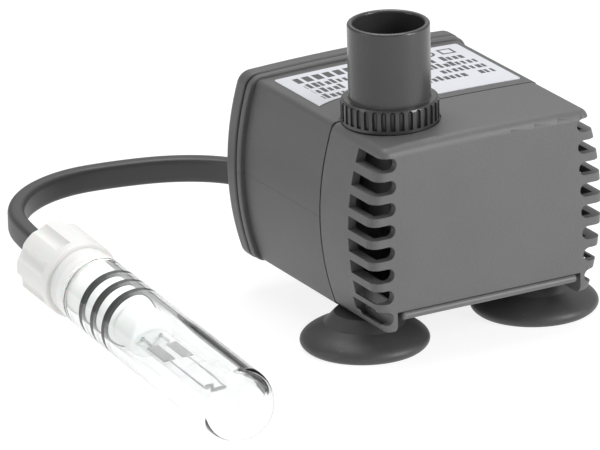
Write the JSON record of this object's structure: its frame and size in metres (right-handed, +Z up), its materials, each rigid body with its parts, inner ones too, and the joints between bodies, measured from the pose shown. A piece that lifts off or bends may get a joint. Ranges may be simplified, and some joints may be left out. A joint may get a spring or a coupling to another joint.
{
  "type": "submersible fountain pump",
  "caption": "Small submersible fountain pump with suction-cup feet, an upright push-on hose nozzle, slotted intake cover and a sealed lamp on a short lead.",
  "frame": {"origin": "middle of the pump's footprint, without its lamp and lead, on the plane its suction cups stand on", "axes": "+Z up along the outlet nozzle, intake cover facing -Y, lead glands facing +Y"},
  "size_m": [0.1058, 0.1098, 0.0645],
  "materials": {
    "housing_plastic": "dark grey moulded ABS with a fine spark-eroded grain",
    "nozzle_plastic": "near-black moulded ABS, smooth with a soft sheen",
    "cap_plastic": "white moulded plastic with smooth flutes, satin",
    "impeller_plastic": "white moulded acetal",
    "plug_plastic": "white moulded plastic, satin",
    "bobbin_nylon": "natural nylon",
    "potting_resin": "black cast epoxy",
    "seal_rubber": "black nitrile rubber, smooth",
    "gland_rubber": "black moulded rubber",
    "cup_rubber": "black soft rubber with a dull bloom",
    "lead_pvc": "black flexible PVC, satin",
    "lamination_steel": "stacked electrical steel sheets",
    "copper_wire": "enamelled copper wire",
    "magnet_ferrite": "ground ferrite",
    "shaft_ceramic": "ground alumina",
    "label_film": "satin silver film with black print",
    "lens_glass": "clear moulded glass",
    "bulb_quartz": "clear quartz",
    "socket_ceramic": "white steatite",
    "contact_metal": "plated spring steel",
    "bulb_foil": "rolled molybdenum",
    "filament_wire": "coiled tungsten"
  },
  "bodies": {
    "pump_body": {"motor_housing": "housing_plastic", "rear_cover": "housing_plastic", "rear_seal": "seal_rubber", "lamp_lead_gland": "gland_rubber", "supply_lead_gland": "gland_rubber", "stator_core": "lamination_steel", "coil_bobbin": "bobbin_nylon", "coil_winding": "copper_wire", "potting_resin": "potting_resin", "rotor_shaft": "shaft_ceramic", "front_bush": "seal_rubber", "rear_bush": "seal_rubber", "volute_cover": "housing_plastic", "volute_seal": "seal_rubber", "nozzle_seal": "seal_rubber", "rating_label": "label_film", "suction_cup_rear": "cup_rubber", "lamp_plug": "plug_plastic", "lamp_cap": "cap_plastic", "lead_grommet": "gland_rubber", "lamp_seal_1": "seal_rubber", "lamp_seal_2": "seal_rubber", "lamp_seal_3": "seal_rubber", "lamp_socket": "socket_ceramic", "bulb_envelope": "bulb_quartz", "bulb_filament": "filament_wire", "socket_contact_left": "contact_metal", "socket_contact_right": "contact_metal", "bulb_foil_left": "bulb_foil", "bulb_foil_right": "bulb_foil", "bulb_pin_left": "contact_metal", "bulb_pin_right": "contact_metal", "bulb_support_left": "filament_wire", "bulb_support_right": "filament_wire", "lamp_lead": "lead_pvc"},
    "intake_cover": {"intake_cover": "housing_plastic", "suction_cup_left": "cup_rubber", "suction_cup_right": "cup_rubber"},
    "flow_slide": {"flow_slide": "housing_plastic"},
    "rotor": {"impeller": "impeller_plastic", "rotor_magnet": "magnet_ferrite", "rotor_sleeve": "impeller_plastic"},
    "outlet_nozzle": {"outlet_nozzle": "nozzle_plastic"},
    "lamp_lens": {"lamp_lens": "lens_glass"}
  },
  "joints": [
    {"name": "rotor_spin", "type": "hinge", "parent": "pump_body", "child": "rotor", "pos_m": [0, 0.001, 0.02585], "axis": [0, -1, 0], "continuous": true},
    {"name": "cover_pull", "type": "slide", "parent": "pump_body", "child": "intake_cover", "axis": [0, -1, 0], "range_m": [0, 0.022]},
    {"name": "flow_adjust", "type": "slide", "parent": "intake_cover", "child": "flow_slide", "axis": [0, -1, 0], "range_m": [0, 0.006]},
    {"name": "nozzle_pull", "type": "slide", "parent": "pump_body", "child": "outlet_nozzle", "axis": [0, 0, 1], "range_m": [0, 0.009]},
    {"name": "lens_pull", "type": "slide", "parent": "pump_body", "child": "lamp_lens", "axis": [0.0295, -0.9941, -0.1045], "range_m": [0, 0.016]}
  ]
}
